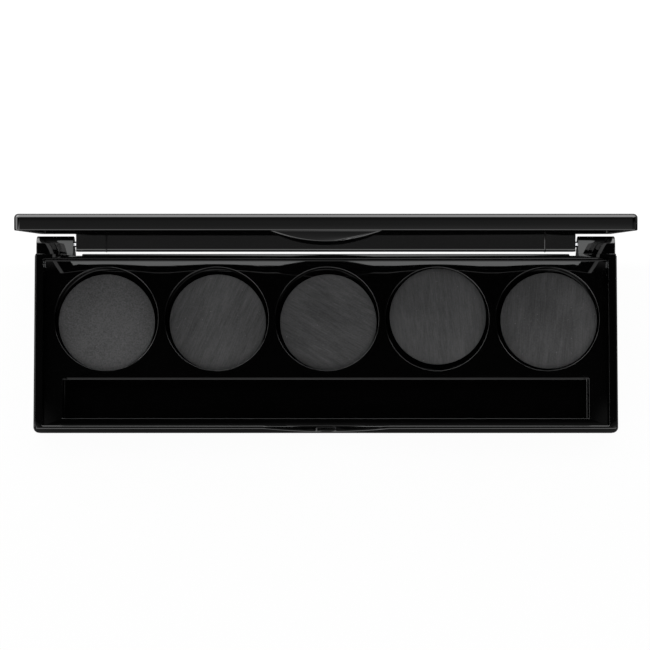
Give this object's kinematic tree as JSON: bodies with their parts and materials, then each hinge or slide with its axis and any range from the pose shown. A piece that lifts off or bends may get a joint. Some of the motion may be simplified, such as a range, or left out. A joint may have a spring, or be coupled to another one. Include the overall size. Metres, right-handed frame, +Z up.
{
  "type": "refillable make-up palette",
  "caption": "Slim hinged case in gloss black: a row of round wells with magnetic-sheet discs, a long applicator channel and a mirrored lid with a thumb tab, standing open.",
  "frame": {"origin": "centre of the base's underside", "axes": "+X to the right along the row of wells, +Y towards the hinge, +Z up out of the wells"},
  "size_m": [0.1512, 0.0555, 0.055],
  "materials": {
    "base_plastic": "piano-black moulded gloss",
    "tray_plastic": "piano-black moulded gloss",
    "lid_plastic": "piano-black moulded gloss",
    "magnet_sheet": "matte flexible magnet sheet with faint rolling streaks",
    "tape": "clear-white adhesive film",
    "pin_steel": "drawn steel wire",
    "mirror_glass": "silvered glass"
  },
  "bodies": {
    "base": {"base_shell": "base_plastic", "well_tray": "tray_plastic", "magnet_disc_1": "magnet_sheet", "magnet_disc_2": "magnet_sheet", "magnet_disc_3": "magnet_sheet", "magnet_disc_4": "magnet_sheet", "magnet_disc_5": "magnet_sheet", "glue_film_1": "tape", "glue_film_2": "tape", "glue_film_3": "tape", "glue_film_4": "tape", "glue_film_5": "tape", "hinge_pin_left": "pin_steel", "hinge_pin_right": "pin_steel"},
    "lid": {"lid_shell": "lid_plastic", "lid_mirror": "mirror_glass", "mirror_tape": "tape"}
  },
  "joints": [
    {"name": "lid_hinge", "type": "hinge", "parent": "base", "child": "lid", "pos_m": [0, 0.0257, 0.0069], "axis": [-1, 0, 0], "range_deg": [-85, 21.5]}
  ]
}
